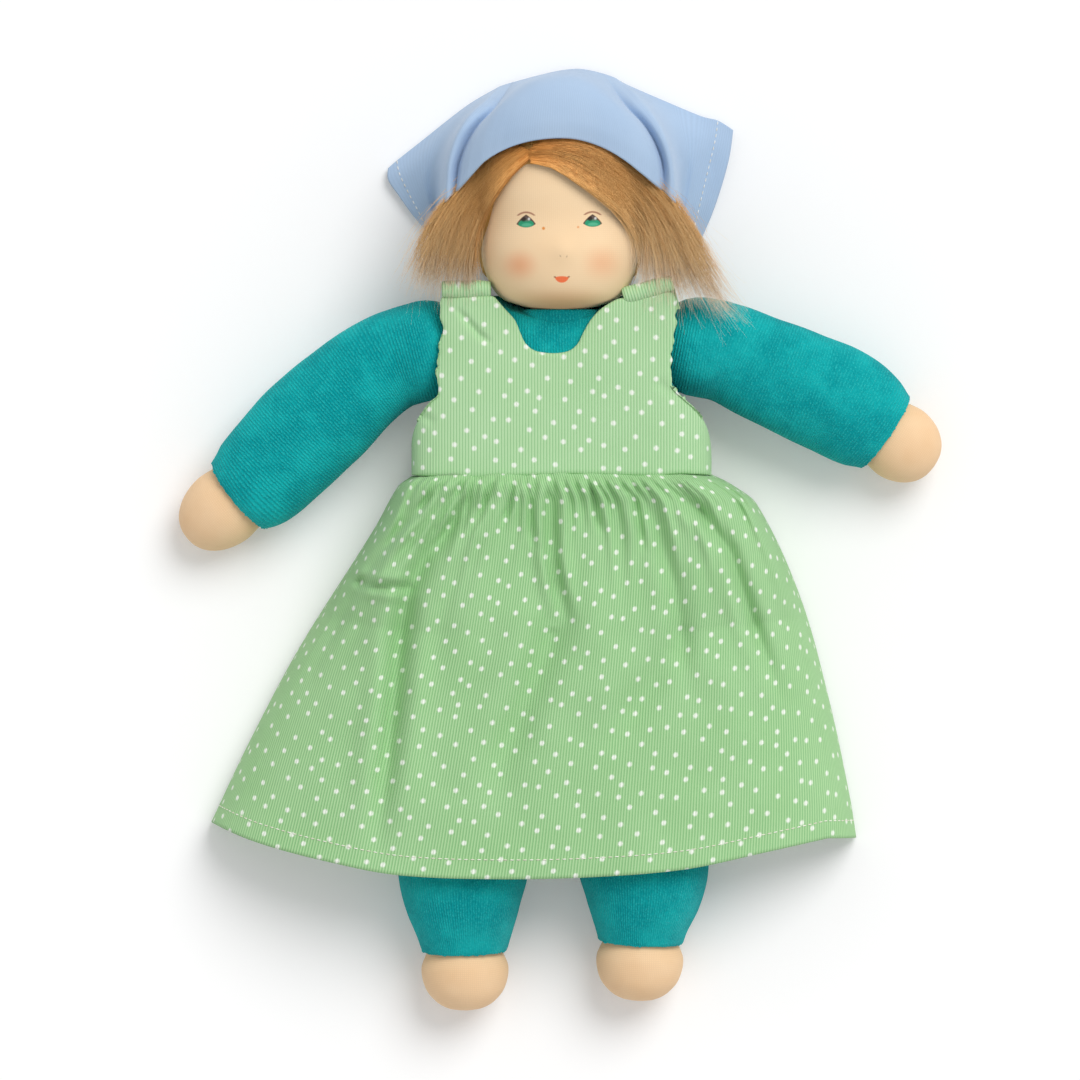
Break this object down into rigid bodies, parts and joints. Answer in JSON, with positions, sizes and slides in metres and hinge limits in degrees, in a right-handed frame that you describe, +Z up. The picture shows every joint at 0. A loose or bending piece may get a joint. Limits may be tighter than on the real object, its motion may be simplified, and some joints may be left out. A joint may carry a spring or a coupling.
{
  "type": "waldorf doll",
  "caption": "Soft cloth doll with a stuffed velour body suit, fine-cord pinafore dress, mohair hair and a cotton headscarf, lying on its back.",
  "frame": {"origin": "middle of the doll's outline on the surface that it lies on", "axes": "+Y towards the head, +Z up from the surface, out of the doll's front, +X to the right of someone looking down on it"},
  "size_m": [0.305, 0.3773, 0.0761],
  "materials": {
    "velour": "teal cotton velour with a short looped pile",
    "skin": "fine cotton tricot",
    "dress_cord": "pale green fine-wale cord with small white dots",
    "scarf_cotton": "light blue brushed cotton jersey",
    "mohair": "brushed blonde mohair",
    "wool": "carded wool stuffing",
    "thread": "strong linen thread"
  },
  "bodies": {
    "torso": {"torso_cover": "velour", "torso_filling": "wool", "bodice_front": "dress_cord", "bodice_back": "dress_cord", "back_strap_left": "dress_cord", "back_strap_right": "dress_cord", "skirt_front": "dress_cord", "skirt_back": "dress_cord"},
    "neck": {"neck_stalk": "wool", "neck_string": "thread"},
    "head": {"head_core": "wool", "eye_line_thread": "thread", "head_skin": "skin", "wig_cap": "mohair", "hair_fringe": "mohair", "hair_side_left": "mohair", "hair_side_right": "mohair"},
    "headscarf": {"headscarf": "scarf_cotton"},
    "shoulder_left": {"shoulder_wad_left": "wool"},
    "arm_left": {"sleeve_left": "velour", "arm_filling_left": "wool", "hand_left": "skin"},
    "shoulder_right": {"shoulder_wad_right": "wool"},
    "arm_right": {"sleeve_right": "velour", "arm_filling_right": "wool", "hand_right": "skin"},
    "seat": {"hip_band": "velour"},
    "leg_left": {"leg_cover_left": "velour", "leg_filling_left": "wool", "foot_left": "skin"},
    "leg_right": {"leg_cover_right": "velour", "leg_filling_right": "wool", "foot_right": "skin"}
  },
  "joints": [
    {"name": "neck_nod", "type": "hinge", "parent": "torso", "child": "neck", "pos_m": [-0.0006, 0.084, 0.03245], "axis": [1, 0, 0], "range_deg": [0, 12], "deforming": ["hair_side_left", "hair_side_right"]},
    {"name": "head_turn", "type": "hinge", "parent": "neck", "child": "head", "pos_m": [-0.0006, 0.092, 0.03745], "axis": [0, 1, 0], "range_deg": [-20, 20], "deforming": ["hair_side_left", "hair_side_right"]},
    {"name": "headscarf_off", "type": "slide", "parent": "head", "child": "headscarf", "axis": [0, 1, 0], "range_m": [0, 0.1]},
    {"name": "arm_left_raise", "type": "hinge", "parent": "torso", "child": "shoulder_left", "pos_m": [-0.054, 0.0758, 0.0245], "axis": [0, 0, -1], "range_deg": [-4, 40], "deforming": ["hair_side_left"]},
    {"name": "arm_left_swing", "type": "hinge", "parent": "shoulder_left", "child": "arm_left", "pos_m": [-0.054, 0.0758, 0.0245], "axis": [-0.6029, 0.7978, 0], "range_deg": [0, 40], "deforming": ["hair_side_left"]},
    {"name": "arm_right_raise", "type": "hinge", "parent": "torso", "child": "shoulder_right", "pos_m": [0.0554, 0.077, 0.0245], "axis": [0, 0, 1], "range_deg": [-20, 40], "deforming": ["hair_side_right"]},
    {"name": "arm_right_swing", "type": "hinge", "parent": "shoulder_right", "child": "arm_right", "pos_m": [0.0554, 0.077, 0.0245], "axis": [-0.437, -0.8995, 0], "range_deg": [0, 40], "deforming": ["hair_side_right"]},
    {"name": "sit_fold", "type": "hinge", "parent": "torso", "child": "seat", "pos_m": [-0.0014, -0.044, 0.0245], "axis": [-1, 0, 0], "range_deg": [0, 90], "deforming": ["skirt_front", "skirt_back"]},
    {"name": "leg_left_spread", "type": "hinge", "parent": "seat", "child": "leg_left", "pos_m": [-0.029, -0.0755, 0.0245], "axis": [0, 0, -1], "range_deg": [-4, 12], "deforming": ["skirt_front", "skirt_back"]},
    {"name": "leg_right_spread", "type": "hinge", "parent": "seat", "child": "leg_right", "pos_m": [0.025, -0.0755, 0.0245], "axis": [0, 0, 1], "range_deg": [-4, 12], "deforming": ["skirt_front", "skirt_back"]}
  ]
}
